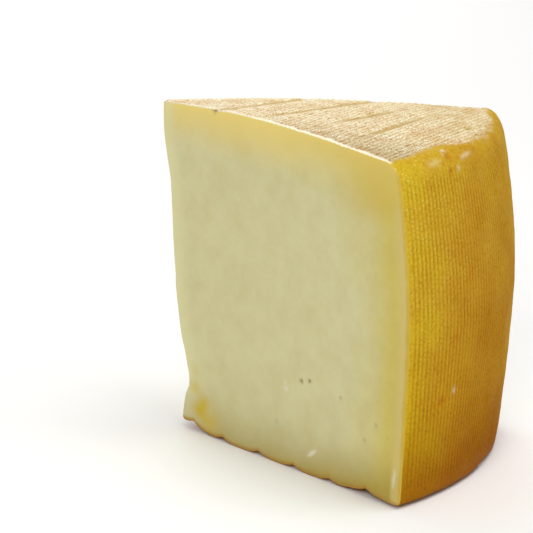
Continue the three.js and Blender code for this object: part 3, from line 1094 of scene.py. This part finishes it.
    def rim_colour(self, tree: Tree, measures: Measures, clouds: Socket) -> Socket:
        """Colours the rim: a painted golden glow beside the first cut, amber away from it, darker lower
        down partly from smoke and partly as painted shade, with smoke in clouds.

        Args:
            tree: The material's node tree.
            measures: Where a place of the rind is.
            clouds: Soft noise.

        Returns:
            The colour.
        """
        second = add_node(tree, "MapRange", self.second_cut.settings(), {0: measures["side"]})
        far = add_node(tree, "Math", {"operation": "ADD"}, {0: measures["cut_depth"], 1: second[0]})
        away = add_node(tree, "MapRange", self.smoke_shade_and_cut_glow.settings(), {0: far[0]})
        lower = add_node(tree, "MapRange", self.smoke_and_shade_by_height.settings(), {0: measures["up"]})
        smoked_and_shaded = add_node(tree, "Math", {"operation": "MULTIPLY"}, {0: away[0], 1: lower[0]})
        mixed = add_node(
            tree, "Math", {"operation": "MULTIPLY_ADD", 1: self.smoke_clouds}, {0: clouds, 2: smoked_and_shaded[0]},
        )
        return add_node(
            tree, "ValToRGB", {"stops": [(0.25, self.gold), (0.56, self.amber), (0.85, self.smoke)]},
            {0: mixed[0]},
        )[0]

    def grit_rows(self, tree: Tree, place: Socket, side: Socket, drift: Socket) -> Socket:
        """Gives the top's grit, in rows, coarse beside the first cut and smoother away from it.

        Args:
            tree: The material's node tree.
            place: Object coordinates.
            side: The coordinate across the wedge.
            drift: Soft noise as a colour, which bends the rows.

        Returns:
            The grit's height, 0.5 on average.
        """
        slack = add_node(
            tree, "VectorMath", {"operation": "MULTIPLY_ADD", 1: (self.row_slack, self.row_slack, 0.0)},
            {0: drift, 2: place},
        )
        turn = Wheel.angle / 2 - self.cloth.row_turn
        turned = add_node(
            tree, "VectorRotate", {"rotation_type": "Z_AXIS", "Angle": turn}, {"Vector": slack[0]},
        )
        rows = add_node(tree, "SeparateXYZ", links={0: turned[0]})
        row_turn = add_node(
            tree, "Math", {"operation": "MULTIPLY", 1: 2 * math.pi / self.cloth.row_pitch / MM},
            {0: rows[0]},
        )
        wave = add_node(tree, "Math", {"operation": "COSINE"}, {0: row_turn[0]})
        grains = add_node(tree, "TexNoise", {"Scale": 2000.0, "Detail": 1.5}, {"Vector": turned[0]})
        both = add_node(
            tree, "Math", {"operation": "MULTIPLY_ADD", 1: self.row_share}, {0: wave[0], 2: grains[0]},
        )
        coarse = add_node(tree, "MapRange", self.coarseness.settings(), {0: side})
        around = add_node(tree, "Math", {"operation": "SUBTRACT", 1: 0.5}, {0: both[0]})
        return add_node(
            tree, "Math", {"operation": "MULTIPLY_ADD", 2: 0.5}, {0: around[0], 1: coarse[0]},
        )[0]

    def top_colour(self, tree: Tree, grit: Socket, measures: Measures) -> Socket:
        """Colours the top: cream crests with painted white glints and highlights over darker hollows that
        are partly brown specks and partly painted shade.

        Args:
            tree: The material's node tree.
            grit: The grit's height.
            measures: Where a place of the rind is. It gains the creases' and the crumbs' ragged measures.

        Returns:
            The colour.
        """
        # The ramp's highlight and glint stops are painted glints, and its darkest stop is partly painted
        # shade in the grit's hollows
        stops = [
            (0.2, self.specks_and_hollow_shade), (0.38, self.grit), (0.5, self.cream), (0.62, self.cream_highlight),
            (0.8, self.glint),
        ]
        grains = add_node(tree, "ValToRGB", {"stops": stops}, {0: grit})
        measures["frayed"] = add_node(
            tree, "Math", {"operation": "MULTIPLY"}, {0: measures["crease"], 1: grit},
        )[0]
        measures["ragged"] = add_node(
            tree, "Math", {"operation": "MULTIPLY_ADD", 1: self.crumb_and_highlight_ragged},
            {0: measures["patchy"], 2: measures["cut_depth"]},
        )[0]
        return lay_coats(tree, grains[0], self.top_coats, measures)


@dataclass(frozen=True)
class Studio:
    """The pale floor, the soft lights and the camera at the photograph's angle."""

    eye: tuple[float, float, float] = (262.1, -725.01, 254.0)
    azimuth: float = math.radians(21.09)
    pitch: float = math.radians(14.74)
    roll: float = math.radians(2.11)
    focal_px: float = 2837.4
    image_px: float = 533.0
    sensor: float = 36.0
    clip_start: float = 0.05
    aim: tuple[float, float, float] = (0.0, 0.0, 0.045)
    lights: tuple[tuple[str, tuple[float, float, float], float, float], ...] = (
        ("key", (0.15, -1.05, 0.65), 0.6, 6.2), ("top", (0.35, 0.0, 1.0), 0.7, 5.6),
        ("back", (-0.61, 0.73, 0.55), 1.0, 5.0),
    )
    fill: float = 0.33
    floor_size: float = 4.0

    def build(self) -> None:
        """Makes the stage."""
        self.camera()
        self.floor()
        self.world()
        for light in self.lights:
            self.area(*light)
        bpy.context.scene.view_settings.view_transform = "Standard"

    def camera(self) -> None:
        """Puts the camera where the photograph was taken from."""
        data = bpy.data.cameras.new("camera")
        data.sensor_fit = "HORIZONTAL"
        data.sensor_width = self.sensor
        data.lens = self.sensor * self.focal_px / self.image_px
        data.clip_start = self.clip_start
        camera = bpy.data.objects.new("camera", data)
        bpy.context.scene.collection.objects.link(camera)
        level = Matrix.Rotation(self.azimuth, 4, "Z") @ Matrix.Rotation(math.pi / 2 - self.pitch, 4, "X")
        turn = level @ Matrix.Rotation(self.roll, 4, "Z")
        camera.matrix_world = Matrix.Translation(Vector(self.eye) * MM) @ turn
        bpy.context.scene.camera = camera

    def floor(self) -> None:
        """Lays a plain pale floor under the wedge."""
        bm = bmesh.new()
        bmesh.ops.create_grid(bm, x_segments=1, y_segments=1, size=self.floor_size)
        mesh = bpy.data.meshes.new("floor")
        bm.to_mesh(mesh)
        bm.free()
        floor = bpy.data.objects.new("floor", mesh)
        bpy.context.scene.collection.objects.link(floor)
        material, _, _ = new_material("pale_floor", {"Base Color": linear("#fbfaf8"), "Roughness": 0.8})
        mesh.materials.append(material)

    def world(self) -> None:
        """Fills the studio with an even white light."""
        world = bpy.data.worlds.new("studio")
        world.use_nodes = True
        background = world.node_tree.nodes["Background"]
        background.inputs["Color"].default_value = linear("#ffffff")
        background.inputs["Strength"].default_value = self.fill
        bpy.context.scene.world = world

    def area(self, name: str, place: tuple[float, float, float], size: float, power: float) -> None:
        """Hangs one soft light that faces the wedge.

        Args:
            name: What it is called.
            place: Where it hangs, in metres.
            size: The length of its sides, in metres.
            power: Its power in watts.
        """
        data = bpy.data.lights.new(name, "AREA")
        data.shape = "SQUARE"
        data.size = size
        data.energy = power
        light = bpy.data.objects.new(name, data)
        bpy.context.scene.collection.objects.link(light)
        light.location = place
        light.rotation_euler = (Vector(place) - Vector(self.aim)).to_track_quat("Z", "Y").to_euler()


def main() -> None:
    """Builds the stage and the wedge, and hands the wedge to the frame."""
    Studio().build()
    log.info("stage: camera, floor and lights")
    piece = CheeseWedge().build([PressedPaste().build(), SmokedRind().build()])
    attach(piece, "root")
    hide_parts("cheese_wedge")
    log.info("%s is on its body", piece.name)


if __name__ == "__main__":
    main()
